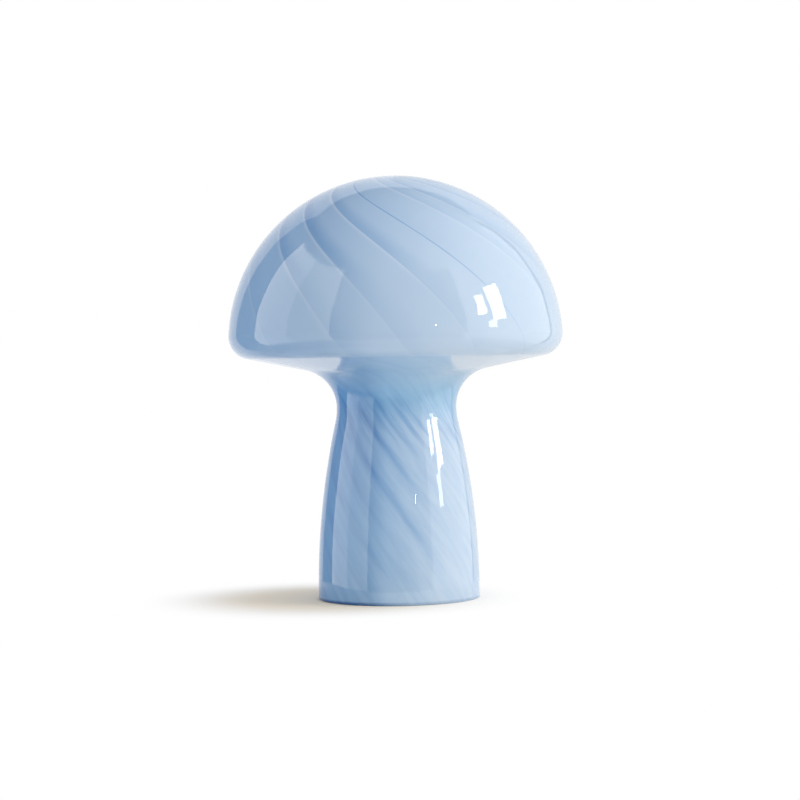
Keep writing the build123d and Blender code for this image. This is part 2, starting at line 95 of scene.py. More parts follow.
panes = [  # the window: degrees round and up, degrees wide and high; how bright
    (63.0, 21.5, 7.0, 11.0, 14.0),
    (77.0, 21.0, 12.5, 18.5, 14.0),
    (70.0, 9.5, 7.0, 5.0, 9.0),
    (27.5, 10.5, 1.0, 2.0, 30.0),  # a small bare lamp, which makes the spark low on the cap
]
fill_glow = 0.83  # soft light from all round, which matt surfaces take
fill_lean = 0.17  # how much brighter it is from the right, and darker from the left


def add(tree, kind, inputs=None, **settings):
    """Add a node with its settings. Each input is a value, or the output that feeds it."""
    made = tree.nodes.new(kind)
    for name, value in settings.items():
        setattr(made, name, value)
    for name, value in (inputs or {}).items():
        if isinstance(value, bpy.types.NodeSocket):
            tree.links.new(value, made.inputs[name])
        else:
            made.inputs[name].default_value = value
    return made


def fill_ramp(ramp, stops, interpolation="LINEAR"):
    """Give a colour ramp its stops, each a place from 0 to 1 and a colour."""
    ramp.interpolation = interpolation
    while len(ramp.elements) < len(stops):
        ramp.elements.new(1.0)
    for element, (place, colour) in zip(ramp.elements, stops):
        element.position = place
        element.color = colour


def grey(glow):
    """A neutral colour of this brightness."""
    return [glow, glow, glow, 1]


world = bpy.data.worlds.new("studio")
scene.world = world
world.use_nodes = True
tree = world.node_tree
tree.nodes.clear()
way = add(tree, "ShaderNodeTexCoord").outputs["Generated"]
way = add(tree, "ShaderNodeSeparateXYZ", {0: way}).outputs
toward = add(tree, "ShaderNodeMath", {0: way["Y"], 1: -1.0}, operation="MULTIPLY")
turn = add(tree, "ShaderNodeMath", {0: way["X"], 1: toward.outputs[0]}, operation="ARCTAN2")
rise = add(tree, "ShaderNodeMath", {0: way["Z"]}, operation="ARCSINE")
round_share = add(
    tree, "ShaderNodeMapRange", {"Value": turn.outputs[0], "From Min": -pi, "From Max": pi}
)
walls = add(tree, "ShaderNodeValToRGB", {0: round_share.outputs[0]})
stops = [(0.5 + angle / 360, [*colour, 1]) for angle, *colour in wall_edges]
fill_ramp(walls.color_ramp, stops, "CONSTANT")
ceiling = add(tree, "ShaderNodeValToRGB", {0: round_share.outputs[0]})
fill_ramp(ceiling.color_ramp, [(0.5 + angle / 360, grey(glow)) for angle, glow in ceiling_glows])
room = walls.outputs[0]
for low, high, glow in (  # degrees above the horizon between which each takes over
    (wall_top, wall_top + wall_fade, ceiling.outputs[0]),
    (wall_top, overhead_from, grey(overhead_glow)),
    (underfoot_from, underfoot_from - underfoot_fade, grey(underfoot_glow)),
):
    above = add(
        tree,
        "ShaderNodeMapRange",
        {"Value": rise.outputs[0], "From Min": radians(low), "From Max": radians(high)},
    )
    room = add(
        tree, "ShaderNodeMix", {0: above.outputs[0], 6: room, 7: glow}, data_type="RGBA"
    ).outputs[2]
for round_by, up_by, wide, high, glow in panes:
    beside = add(
        tree,
        "ShaderNodeMath",
        {0: turn.outputs[0], 1: radians(round_by), 2: radians(wide / 2)},
        operation="COMPARE",
    )
    level = add(
        tree,
        "ShaderNodeMath",
        {0: rise.outputs[0], 1: radians(up_by), 2: radians(high / 2)},
        operation="COMPARE",
    )
    pane = add(
        tree, "ShaderNodeMath", {0: beside.outputs[0], 1: level.outputs[0]}, operation="MULTIPLY"
    )
    room = add(
        tree, "ShaderNodeMix", {0: pane.outputs[0], 6: room, 7: grey(glow)}, data_type="RGBA"
    ).outputs[2]
ray = add(tree, "ShaderNodeLightPath").outputs
seen = add(
    tree,
    "ShaderNodeMath",
    {0: ray["Is Camera Ray"], 1: ray["Is Transmission Ray"]},
    operation="MAXIMUM",
)
leaning = add(
    tree, "ShaderNodeMath", {0: way["X"], 1: fill_lean, 2: fill_glow}, operation="MULTIPLY_ADD"
)
fill = add(tree, "ShaderNodeBackground", {"Color": grey(1.0), "Strength": leaning.outputs[0]})
mirrored = add(tree, "ShaderNodeBackground", {"Color": room, "Strength": 1.0})
white = add(tree, "ShaderNodeBackground", {"Color": grey(1.0), "Strength": 1.0})
glossy = add(
    tree, "ShaderNodeMixShader", {0: ray["Is Glossy Ray"], 1: fill.outputs[0], 2: mirrored.outputs[0]}
)
shown = add(
    tree, "ShaderNodeMixShader", {0: seen.outputs[0], 1: glossy.outputs[0], 2: white.outputs[0]}
)
add(tree, "ShaderNodeOutputWorld", {"Surface": shown.outputs[0]})

# ---------------------------------------------------------------- window light
# Daylight from the right front is the key light, and gives the soft shadow at the left of the
# foot. Gloss sees the panes in the studio above instead of this light.
window_round = radians(72.0)  # from the camera's side
window_rise = radians(21.0)
window_size = (1300.0 * mm, 1000.0 * mm)
window_distance = 3000.0 * mm
window_power = 22.0  # watts
lit_point = Vector((0.0, 0.0, 200.0)) * mm

light = bpy.data.lights.new("window_light", "AREA")
light.shape = "RECTANGLE"
light.size, light.size_y = window_size
light.energy = window_power
window = bpy.data.objects.new("window_light", light)
along = cos(window_rise)
out = Vector((sin(window_round) * along, -cos(window_round) * along, sin(window_rise)))
facing = out.to_track_quat("Z", "Y").to_matrix().to_4x4()
window.matrix_world = Matrix.Translation(lit_point + out * window_distance) @ facing
window.visible_glossy = False
scene.collection.objects.link(window)

# ---------------------------------------------------------------- floor
# A plain white table top, cream near the foot and painted warmest where the lamp's shadow
# falls. It takes the lamp's shadow near the foot, and further out it turns into the white that
# the camera sees behind the lamp. Gloss sees only the near part.
floor_half = 4000.0 * mm
floor_cream_and_shadow_colour = "#FFF1DC"
floor_far_colour = "#FAFAF8"
shadow_centre = (-50.0 * mm, 0.0, 0.0)  # the shadow lies to the left
floor_plain = 45.0 * mm  # from this far off the shadow's middle it starts to turn white
floor_white = 160.0 * mm
floor_mirrored = 210.0 * mm  # gloss sees it this far out from the lamp's axis


def linear(code):
    """A colour written as sRGB hex, such as #A9C6E4, as linear RGBA."""
    shares = [int(code[i : i + 2], 16) / 255 for i in (1, 3, 5)]
    return [s / 12.92 if s <= 0.04045 else ((s + 0.055) / 1.055) ** 2.4 for s in shares] + [1]


mesh = bmesh.new()
bmesh.ops.create_grid(mesh, x_segments=1, y_segments=1, size=floor_half)
floor = bpy.data.objects.new("floor", bpy.data.meshes.new("floor"))
mesh.to_mesh(floor.data)
mesh.free()
scene.collection.objects.link(floor)

# Painted board: quite matt. It is cream, and painted warmest round the lamp's shadow as warm shade.
material = bpy.data.materials.new("matt_white_board")
material.use_nodes = True
tree = material.node_tree
tree.nodes.clear()
spot = add(tree, "ShaderNodeTexCoord").outputs["Object"]
out_by = add(tree, "ShaderNodeVectorMath", {0: spot}, operation="LENGTH").outputs["Value"]
shadow_by = add(tree, "ShaderNodeVectorMath", {0: spot, 1: shadow_centre}, operation="DISTANCE")
whiten = add(
    tree,
    "ShaderNodeMapRange",
    {"Value": shadow_by.outputs["Value"], "From Min": floor_plain, "From Max": floor_white},
    interpolation_type="SMOOTHERSTEP",
)
ray = add(tree, "ShaderNodeLightPath").outputs
seen = add(
    tree, "ShaderNodeMath", {0: ray["Is Camera Ray"], 1: ray["Is Glossy Ray"]}, operation="MAXIMUM"
)
seen = add(
    tree, "ShaderNodeMath", {0: seen.outputs[0], 1: ray["Is Transmission Ray"]}, operation="MAXIMUM"
)
shown = add(
    tree, "ShaderNodeMath", {0: seen.outputs[0], 1: whiten.outputs[0]}, operation="MULTIPLY"
)
board = add(
    tree,
    "ShaderNodeMix",
    {0: whiten.outputs[0], 6: linear(floor_cream_and_shadow_colour), 7: linear(floor_far_colour)},
    data_type="RGBA",
)
matt = add(tree, "ShaderNodeBsdfDiffuse", {"Color": board.outputs[2]})
white = add(tree, "ShaderNodeEmission", {"Color": grey(1.0), "Strength": 1.0})
mixed = add(
    tree, "ShaderNodeMixShader", {0: shown.outputs[0], 1: matt.outputs[0], 2: white.outputs[0]}
)
beyond = add(tree, "ShaderNodeMath", {0: out_by, 1: floor_mirrored}, operation="GREATER_THAN")
beyond = add(
    tree, "ShaderNodeMath", {0: beyond.outputs[0], 1: ray["Is Glossy Ray"]}, operation="MULTIPLY"
)
nothing = add(tree, "ShaderNodeBsdfTransparent")
mixed = add(
    tree, "ShaderNodeMixShader", {0: beyond.outputs[0], 1: mixed.outputs[0], 2: nothing.outputs[0]}
)
add(tree, "ShaderNodeOutputMaterial", {"Surface": mixed.outputs[0]})
floor.data.materials.append(material)

# ---------------------------------------------------------------- base plate
# The pan that carries the fitting is pressed from thin steel sheet. Its vents and the arch for
# the cord are punched, and it is coated with white powder.
powder_colours = ("#E4E3DE", "#E9E8E3")
powder_roughness = (0.50, 0.42)
peel_size = 1.6 * mm
peel_height = 0.03 * mm
weld_reach = 0.002 * mm  # points closer than this become one


def new_material(name, values):
    """A material of one Principled shader, with these values on the shader's own sockets."""
    made = bpy.data.materials.new(name)
    made.use_nodes = True
    made.node_tree.nodes.clear()
    shader = add(made.node_tree, "ShaderNodeBsdfPrincipled", values)
    add(made.node_tree, "ShaderNodeOutputMaterial", {"Surface": shader.outputs[0]})
    return made, made.node_tree, shader


def raise_grain(tree, shader, size, height, detail=2.0, drawn=(1, 1, 1)):
    """Raise grains of this size and height on the surface, drawn out along an axis or not."""
    spot = add(tree, "ShaderNodeTexCoord").outputs["Object"]
    spot = add(tree, "ShaderNodeVectorMath", {0: spot, 1: drawn}, operation="MULTIPLY").outputs[0]
    grain = add(tree, "ShaderNodeTexNoise", {"Vector": spot, "Scale": 1 / size, "Detail": detail})
    bump = add(tree, "ShaderNodeBump", {"Height": grain.outputs["Fac"], "Distance": height})
    tree.links.new(bump.outputs[0], shader.inputs["Normal"])
    return grain.outputs["Fac"]


def vary(tree, shader, grain, colours, roughness, low=0.35, high=0.65):
    """Carry the colour from one to the other as a pattern rises, and the roughness with it."""
    shade = add(tree, "ShaderNodeValToRGB", {0: grain})
    fill_ramp(shade.color_ramp, [(low, linear(colours[0])), (high, linear(colours[1]))])
    gloss = add(
        tree,
        "ShaderNodeMapRange",
        {
            "Value": grain,
            "From Min": low,
            "From Max": high,
            "To Min": roughness[0],
            "To Max": roughness[1],
        },
    )
    tree.links.new(shade.outputs[0], shader.inputs["Base Color"])
    tree.links.new(gloss.outputs[0], shader.inputs["Roughness"])


def keep_edges(piece, crease):
    """Leave edges that turn by more than this many degrees sharp in a smooth piece."""
    split = piece.modifiers.new("sharp_edges", "EDGE_SPLIT")
    split.split_angle = radians(crease)


def dress(node, material, crease=32.0):
    """Give a piece of the frame its material, and shade it smooth up to its sharp edges."""
    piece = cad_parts[node]
    piece.data.materials.clear()
    piece.data.materials.append(material)
    for face in piece.data.polygons:
        face.use_smooth = True
    weld = piece.modifiers.new("weld", "WELD")
    weld.merge_threshold = weld_reach
    keep_edges(piece, crease)


# Powder coat on steel: satin, with the orange peel that the powder keeps when it flows.
material, tree, shader = new_material("white_powder_coat", {"IOR": 1.5})
peel = raise_grain(tree, shader, peel_size, peel_height)
vary(tree, shader, peel, powder_colours, powder_roughness)
dress("base_plate", material)

# ---------------------------------------------------------------- rubber feet
# Four moulded rubber feet are pushed up through holes in the plate. They are matt, with the
# fine grain of their spark-eroded mould.
rubber_colours = ("#252526", "#353536")
rubber_roughness = (0.85, 0.72)
rubber_grain = 0.6 * mm
rubber_grain_height = 0.02 * mm

# Black nitrile rubber: matt, and greyer where it has been rubbed.
material, tree, shader = new_material("black_rubber", {"IOR": 1.52})
rubbed = raise_grain(tree, shader, rubber_grain, rubber_grain_height)
vary(tree, shader, rubbed, rubber_colours, rubber_roughness)
dress("rubber_feet", material)

# ---------------------------------------------------------------- leaf springs
# Three springs of rolled steel strip stand round the lampholder and centre the glass. Each is
# bent to its bow, and held by one rivet through its foot.
spring_colours = ("#AEB0B4", "#C1C3C6")
spring_roughness = (0.34, 0.24)
roll_mark = 0.5 * mm  # coarser than real roll marks, so that they show
roll_height = 0.002 * mm
roll_detail = 3.0
roll_drawn = (1.0, 1.0, 0.02)  # the marks run along the strip
spring_crease = 24.0

# Spring steel strip: bright, with fine roll marks that draw the highlight out across them.
material, tree, shader = new_material("rolled_spring_steel", {"Metallic": 1.0})
marks = raise_grain(tree, shader, roll_mark, roll_height, roll_detail, roll_drawn)
vary(tree, shader, marks, spring_colours, spring_roughness)
for number in (1, 2, 3):
    dress(f"leaf_spring_{number}", material, spring_crease)

# ---------------------------------------------------------------- spring sleeves
# A soft tube is drawn over the bow of each spring, so that steel never rubs on glass. It is
# extruded from silicone and cut to length, and holds on by its own grip.
silicone_colours = ("#D4D8D8", "#DDE0DF")
silicone_roughness = (0.50, 0.36)
dust_size = 0.9 * mm
dust_height = 0.01 * mm

# Milky silicone tube: light goes a little way in, and dust makes its skin faintly uneven.
material, tree, shader = new_material(
    "milky_silicone",
    {
        "IOR": 1.41,
        "Subsurface Weight": 0.35,
        "Subsurface Radius": (1.0, 0.95, 0.9),
        "Subsurface Scale": 1.2 * mm,
    },
)
dusty = raise_grain(tree, shader, dust_size, dust_height)
vary(tree, shader, dusty, silicone_colours, silicone_roughness)
for number in (1, 2, 3):
    dress(f"spring_sleeve_{number}", material)

# ---------------------------------------------------------------- spring rivets
# One rivet of drawn aluminium holds each spring's foot to the plate. Its head was set by a
# smooth tool.
aluminium_colours = ("#BEC0C3", "#D0D1D3")
aluminium_roughness = (0.42, 0.32)
bloom_size = 0.8 * mm
bloom_height = 0.004 * mm

# Aluminium as drawn: pale and satin, with a faint bloom.
material, tree, shader = new_material("drawn_aluminium", {"Metallic": 1.0})
bloom = raise_grain(tree, shader, bloom_size, bloom_height)
vary(tree, shader, bloom, aluminium_colours, aluminium_roughness)
dress("spring_rivets", material)

# ---------------------------------------------------------------- nipple
# The lampholder stands on a length of M10 x 1 threaded steel tube, and the cord comes up
# through it. Its thread is rolled over the whole length, and its ends are cut off square.
nipple_ends = [corner.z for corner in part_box("nipple")]
nipple_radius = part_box("nipple")[1].x
nipple_bore = 4.0 * mm  # bores and holes are given by their radius
nipple_pitch = 1.0 * mm
nipple_depth = 0.55 * mm
nipple_rows = 8  # to each turn of the thread
nipple_steps = 64  # faces round the axis
nipple_crease = 40.0
zinc_colours = ("#B4B8BC", "#C9CBCC")
zinc_roughness = (0.36, 0.26)
zinc_size = 2.4 * mm
zinc_height = 0.006 * mm


def draw_line(mesh, vertex, step, steps):
    """Carry a vertex along a straight line in equal steps, and give back the last vertex."""
    for _ in range(steps):
        vertex = bmesh.ops.extrude_vert_indiv(mesh, verts=[vertex])["verts"][0]
        vertex.co += step
    return vertex


def spin_round(mesh, steps):
    """Spin a closed outline once round the lamp's axis, and turn its faces outwards."""
    bmesh.ops.spin(
        mesh,
        geom=mesh.verts[:] + mesh.edges[:],
        cent=(0, 0, 0),
        axis=(0, 0, 1),
        angle=2 * pi,
        steps=steps,
        use_merge=True,
    )
    bmesh.ops.remove_doubles(mesh, verts=mesh.verts, dist=weld_reach)
    bmesh.ops.recalc_face_normals(mesh, faces=mesh.faces)


def new_piece(name, mesh):
    """Put a finished mesh into the scene as a piece, shaded smooth."""
    for face in mesh.faces:
        face.smooth = True
    piece = bpy.data.objects.new(name, bpy.data.meshes.new(name))
    mesh.to_mesh(piece.data)
    mesh.free()
    scene.collection.objects.link(piece)
    return piece


def draw_tube(mesh, inner, outer, low, high, rows):
    """Closed outline of a tube's wall, with this many rows from end to end."""
    step = Vector((0, 0, (high - low) / rows))
    start = mesh.verts.new((outer, 0, low))
    last = draw_line(mesh, start, step, rows)
    last = draw_line(mesh, last, Vector((inner - outer, 0, 0)), 1)
    last = draw_line(mesh, last, -step, rows)
    mesh.edges.new((last, start))


def roll_thread(verts, crest, depth, pitch, low, high, rounded):
    """Press a right-handed thread into every vertex that stands out past it, fading at the ends."""
    for vertex in verts:
        out_by = hypot(vertex.co.x, vertex.co.y)
        phase = (vertex.co.z / pitch - atan2(vertex.co.y, vertex.co.x) / (2 * pi)) % 1.0
        rise = 0.5 + 0.5 * cos(2 * pi * phase) if rounded else abs(2 * phase - 1)
        ends = min(vertex.co.z - low, high - vertex.co.z) / pitch
        limit = crest - depth * (1 - rise) * max(0.0, min(1.0, ends))
        if out_by > limit:
            vertex.co.x *= limit / out_by
            vertex.co.y *= limit / out_by


mesh = bmesh.new()
rows = round((nipple_ends[1] - nipple_ends[0]) / nipple_pitch * nipple_rows)
draw_tube(mesh, nipple_bore, nipple_radius, *nipple_ends, rows)
spin_round(mesh, nipple_steps)
roll_thread(mesh.verts, nipple_radius, nipple_depth, nipple_pitch, *nipple_ends, False)
nipple = new_piece("threaded_nipple", mesh)

# Bright zinc plate on steel: a little bluish and blotchy, with soft reflections.
zinc, tree, shader = new_material("bright_zinc_plate", {"Metallic": 1.0})
blotch = raise_grain(tree, shader, zinc_size, zinc_height)
vary(tree, shader, blotch, zinc_colours, zinc_roughness)
nipple.data.materials.append(zinc)
keep_edges(nipple, nipple_crease)
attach(nipple, "fitting")
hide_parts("nipple")

# ---------------------------------------------------------------- nut and washer
# A thin hexagon nut and a toothed lock washer clamp the nipple under the plate. The nut is
# turned from steel and the washer stamped, and both are zinc plated, as the nipple is.
for node in ("nipple_nut", "lock_washer"):
    dress(node, zinc)

# ---------------------------------------------------------------- cord bush
# A moulded nylon bush with a flange is pressed into the nipple's lower end, so the cord
# meets no sharp edge.
nylon_colours = ("#D3CFC4", "#DEDBD2")
nylon_roughness = (0.55, 0.45)
wax_size = 1.1 * mm
wax_height = 0.01 * mm

# Natural nylon: creamy and waxy, with light going a little way in.
material, tree, shader = new_material(
    "natural_nylon",
    {
        "IOR": 1.53,
        "Subsurface Weight": 0.2,
        "Subsurface Radius": (1.0, 0.9, 0.8),
        "Subsurface Scale": 1.0 * mm,
    },
)
waxy = raise_grain(tree, shader, wax_size, wax_height)
vary(tree, shader, waxy, nylon_colours, nylon_roughness)
dress("cord_bush", material)

# ---------------------------------------------------------------- lampholder body
# The lampholder's two halves, the cap on the nipple and the ribbed skirt over it, are
# moulded in off-white thermoplastic. Wall and ribs come out of the mould in one piece.
polyester_colours = ("#D6D1C4", "#DEDACF")
polyester_roughness = (0.40, 0.32)
flow_size = 0.7 * mm
flow_height = 0.008 * mm

# Glossy heat-resistant polyester: smooth, with a slight mould texture and warm flow marks.
material, tree, shader = new_material("moulded_polyester", {"IOR": 1.55})
flow = raise_grain(tree, shader, flow_size, flow_height)
vary(tree, shader, flow, polyester_colours, polyester_roughness)
for node in ("holder_cap", "holder_skirt"):
    dress(node, material)

# ---------------------------------------------------------------- grub screw
# A small headless screw goes through the side of the cap's neck and locks the lampholder on
# its nipple. It is turned from steel and zinc plated, with a hexagon socket.
dress("grub_screw", zinc)

# ---------------------------------------------------------------- contact block
# A block of steatite, pressed to shape and fired, carries the contacts inside the lampholder.
# A ledge in the skirt clamps it on to the cap.
steatite_grain = 0.35 * mm
steatite_height = 0.012 * mm
speck_size = 1.1 * mm  # from one to the next
speck_stops = [(0.0, "#A99A84"), (0.096, "#C9C0B0"), (0.16, "#E4E1D8")]


def spread_cells(tree, shader, size, stops, distance="EUCLIDEAN"):
    """Colour the surface in cells of this size, by how far a point is from a cell's middle."""
    spot = add(tree, "ShaderNodeTexCoord").outputs["Object"]
    cells = add(
        tree, "ShaderNodeTexVoronoi", {"Vector": spot, "Scale": 1 / size}, distance=distance
    )
    shade = add(tree, "ShaderNodeValToRGB", {0: cells.outputs["Distance"]})
    fill_ramp(shade.color_ramp, [(place, linear(code)) for place, code in stops])
    tree.links.new(shade.outputs[0], shader.inputs["Base Color"])


# Unglazed steatite: a matt off-white body with sparse fine brown specks.
material, tree, shader = new_material("unglazed_steatite", {"IOR": 1.6, "Roughness": 0.6})
raise_grain(tree, shader, steatite_grain, steatite_height)
spread_cells(tree, shader, speck_size, speck_stops)
dress("holder_insert", material)

# ---------------------------------------------------------------- screw shell
# The bulb screws into a shell of thin brass with the round E27 thread rolled into it. Its
# floor is open round the centre contact.
e27_pitch = 25.4 * mm / 7  # seven turns to the inch
e27_depth = 0.95 * mm
e27_rows = 14  # to each turn of the thread
e27_steps = 96  # faces round the axis
e27_crease = 50.0
shell_ends = [corner.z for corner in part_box("screw_shell")]
shell_wall = 0.4 * mm
shell_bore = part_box("screw_shell")[1].x - shell_wall  # over the thread's grooves
shell_hole = 10.6 * mm
shell_thread = (shell_ends[0] + 3.3 * mm, shell_ends[1])  # the floor is left plain
shell_round = 0.3 * mm
floor_rows = 4
touch = 0.01 * mm  # a point nearer than this lies on a face
fold = 1.0  # radians; only an outline's corners turn by more
brass_colours = ("#C39D55", "#DDBB75")
brass_roughness = (0.34, 0.22)
tarnish_size = 5.0 * mm
tarnish_height = 0.01 * mm
tarnish_detail = 4.0

mesh = bmesh.new()
rows = round((shell_ends[1] - shell_ends[0]) / e27_pitch * e27_rows)
rise = Vector((0, 0, (shell_ends[1] - shell_ends[0]) / rows))
start = mesh.verts.new((shell_bore + shell_wall, 0, shell_ends[0]))
last = draw_line(mesh, start, rise, rows)
last = draw_line(mesh, last, Vector((-shell_wall, 0, 0)), 1)
last = draw_line(mesh, last, -rise, rows - 1)
last.co.z = shell_ends[0] + shell_wall
inward = Vector((shell_hole - shell_bore, 0, 0)) / floor_rows
last = draw_line(mesh, last, inward, floor_rows)
last = draw_line(mesh, last, Vector((0, 0, -shell_wall)), 1)
outward = Vector((shell_bore + shell_wall - shell_hole, 0, 0)) / floor_rows
last = draw_line(mesh, last, outward, floor_rows - 1)
mesh.edges.new((last, start))
spin_round(mesh, e27_steps)


def folds_below(mesh, height):
    """The edges below this height at which two faces meet in a corner."""
    return [
        edge
        for edge in mesh.edges
        if edge.calc_face_angle() > fold and all(v.co.z < height + touch for v in edge.verts)
    ]


bottom = folds_below(mesh, shell_ends[0])
corner = [edge for edge in bottom if hypot(*edge.verts[0].co.xy) > shell_bore]
bmesh.ops.bevel(
    mesh, geom=corner, offset=shell_round, segments=3, profile=0.5, affect="EDGES", material=-1
)
outer = [v for v in mesh.verts if hypot(*v.co.xy) > shell_bore + shell_wall / 2]
inner = [v for v in mesh.verts if abs(hypot(*v.co.xy) - shell_bore) < shell_wall / 2]
roll_thread(outer, shell_bore + shell_wall, e27_depth, e27_pitch, *shell_thread, True)
roll_thread(inner, shell_bore, e27_depth, e27_pitch, *shell_thread, True)
shell = new_piece("threaded_shell", mesh)

# Brass strip: bright yellow metal, a shade browner where it has begun to tarnish.
brass, tree, shader = new_material("bright_brass", {"Metallic": 1.0})
tarnish = raise_grain(tree, shader, tarnish_size, tarnish_height, tarnish_detail)
vary(tree, shader, tarnish, brass_colours, brass_roughness)
shell.data.materials.append(brass)
keep_edges(shell, e27_crease)
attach(shell, "fitting")
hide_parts("screw_shell")

# ---------------------------------------------------------------- contacts
# The centre contact and the side contact are stamped and bent from springy brass strip, each
# with a tab at its foot where a zinc-plated screw holds one core of the cord.
for node in ("centre_contact", "side_contact"):
    dress(node, brass)
dress("terminal_screws", zinc)

# ---------------------------------------------------------------- bulb contact
# The tip of the bulb's cap is a drop of soft solder, melted on to a small brass eyelet in the
# insulator. It is the bulb's lower contact.
solder_colours = ("#A6A6A5", "#BDBDBA")
solder_roughness = (0.48, 0.36)
dimple_size = 1.5 * mm
dimple_depth = 0.03 * mm

# Soft solder: a dull silvery drop with a faint dimpled skin.
material, tree, shader = new_material("soft_solder", {"Metallic": 1.0})
dimples = raise_grain(tree, shader, dimple_size, dimple_depth)
vary(tree, shader, dimples, solder_colours, solder_roughness)
dress("bulb_contact", material)

# ---------------------------------------------------------------- bulb cap
# The bulb's E27 cap is drawn from thin brass sheet, threaded by rolling and nickel plated. It
# narrows to the black insulator at its lower end, and is crimped on to the housing above.
cap_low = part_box("bulb_screw_cap")[0].z
cap_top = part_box("bulb_screw_cap")[1].z
cap_straight = cap_low + 4.0 * mm  # the cone ends here
cap_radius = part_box("bulb_screw_cap")[1].x
cap_hole = 10.2 * mm
cap_wall = 0.4 * mm
cone_rows = 8
nickel_colours = ("#BFBDB8", "#CFCDC8")
nickel_roughness = (0.24, 0.16)
ring_size = 0.8 * mm
ring_height = 0.004 * mm
ring_drawn = (0.1, 0.1, 2.0)  # they run round the cap

mesh = bmesh.new()
rows = round((cap_top - cap_straight) / e27_pitch * e27_rows)
rise = Vector((0, 0, (cap_top - cap_straight) / rows))
slope = Vector((cap_radius - cap_hole, 0, cap_straight - cap_low)) / cone_rows
start = mesh.verts.new((cap_hole, 0, cap_low))
last = draw_line(mesh, start, slope, cone_rows)
last = draw_line(mesh, last, rise, rows)
last = draw_line(mesh, last, Vector((-cap_wall, 0, 0)), 1)
last = draw_line(mesh, last, -rise, rows)
last = draw_line(mesh, last, -slope, cone_rows)
mesh.edges.new((last, start))
spin_round(mesh, e27_steps)
inner = []
outer = []
for vertex in mesh.verts:
    cone_radius = cap_hole + (vertex.co.z - cap_low) * slope.x / slope.z
    middle = min(cap_radius, cone_radius) - cap_wall / 2
    side = inner if hypot(*vertex.co.xy) < middle else outer
    side.append(vertex)
cap_thread = (cap_low - e27_pitch, cap_top)  # the cone cuts it off below, before it fades
roll_thread(outer, cap_radius, e27_depth, e27_pitch, *cap_thread, True)
roll_thread(inner, cap_radius - cap_wall, e27_depth, e27_pitch, *cap_thread, True)
cap = new_piece("threaded_bulb_cap", mesh)

# Nickel plate: a warm mirror with the fine rings that the rolling left.
material, tree, shader = new_material("nickel_plate", {"Metallic": 1.0})
rings = raise_grain(tree, shader, ring_size, ring_height, drawn=ring_drawn)
vary(tree, shader, rings, nickel_colours, nickel_roughness)
cap.data.materials.append(material)
keep_edges(cap, e27_crease)
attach(cap, "bulb")
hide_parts("bulb_screw_cap")

# ---------------------------------------------------------------- bulb insulator
# A plug of black glass is cast into the cap's lower end. It holds the tip, and keeps it apart
# from the cap's brass.
vitrite_colours = ("#0D0D0F", "#151517")
vitrite_roughness = (0.16, 0.09)
wave_size = 3.0 * mm
wave_height = 0.03 * mm

# Black vitrite: fire-polished, so nearly a black mirror, with a few shallow waves.
material, tree, shader = new_material("black_vitrite", {"IOR": 1.52})
waves = raise_grain(tree, shader, wave_size, wave_height)
vary(tree, shader, waves, vitrite_colours, vitrite_roughness)
dress("bulb_insulator", material)

# ---------------------------------------------------------------- bulb housing and globe
# The housing is a cone moulded in white plastic, with its neck crimped into the cap. The globe
# is blown from opal polycarbonate and snaps into the housing's rim.
plastic_colours = ("#E2E1DC", "#E9E8E4")
plastic_roughness = (0.56, 0.46)
eroded_size = 0.5 * mm
eroded_height = 0.02 * mm
opal_colours = ("#EDECE8", "#F1F0EC")
opal_roughness = (0.40, 0.32)
satin_size = 0.4 * mm
satin_height = 0.006 * mm

# White flame-retardant plastic with a fine spark-eroded texture, which takes the shine off.
material, tree, shader = new_material("white_moulded_plastic", {"IOR": 1.58})
eroded = raise_grain(tree, shader, eroded_size, eroded_height)
vary(tree, shader, eroded, plastic_colours, plastic_roughness)
dress("bulb_housing", material)

# Opal polycarbonate: satin and milky, so light spreads in the wall and softens its shadows.
material, tree, shader = new_material(
    "opal_polycarbonate",
    {
        "IOR": 1.58,
        "Subsurface Weight": 0.5,
        "Subsurface Radius": (1.0, 1.0, 0.95),
        "Subsurface Scale": 3.0 * mm,
    },
)
satin = raise_grain(tree, shader, satin_size, satin_height)
vary(tree, shader, satin, opal_colours, opal_roughness)
dress("bulb_globe", material)

# ---------------------------------------------------------------- light board
# Twelve light chips are soldered in a ring to a round aluminium board with a white face. The
# board lies in the housing's mouth, under the globe.
track_size = 2.6 * mm  # from one to the next
track_stops = [(0.45, "#E6E6E4"), (0.55, "#DADAD6")]
phosphor_colours = ("#E0BB33", "#EDCD4B")
phosphor_roughness = (0.34, 0.24)
cast_size = 0.5 * mm
cast_height = 0.01 * mm

# White solder mask on aluminium: satin, with the copper tracks just showing through.
material, tree, shader = new_material("white_solder_mask", {"IOR": 1.5, "Roughness": 0.4})
spread_cells(tree, shader, track_size, track_stops, "MANHATTAN")
dress("led_board", material)

# Phosphor in clear silicone: deep yellow, soft inside and glossy on top.
material, tree, shader = new_material(
    "yellow_phosphor",
    {
        "IOR": 1.43,
        "Subsurface Weight": 0.4,
        "Subsurface Radius": (1.0, 0.7, 0.2),
        "Subsurface Scale": 0.6 * mm,
    },
)
cast = raise_grain(tree, shader, cast_size, cast_height)
vary(tree, shader, cast, phosphor_colours, phosphor_roughness)
dress("led_chips", material)

# ---------------------------------------------------------------- driver
# The driver board hangs from the light board into the housing, and carries one capacitor in a
# shrunk sleeve. The board is glass cloth in epoxy.
copper_size = 1.3 * mm  # from one patch to the next
copper_stops = [(0.42, "#3B6E3D"), (0.50, "#264F2A")]
shrink_colours = ("#17181B", "#212226")
shrink_roughness = (0.30, 0.22)
shrink_size = 1.2 * mm
shrink_height = 0.02 * mm
shrink_drawn = (0.3, 0.3, 1.0)  # the ripples run round the can

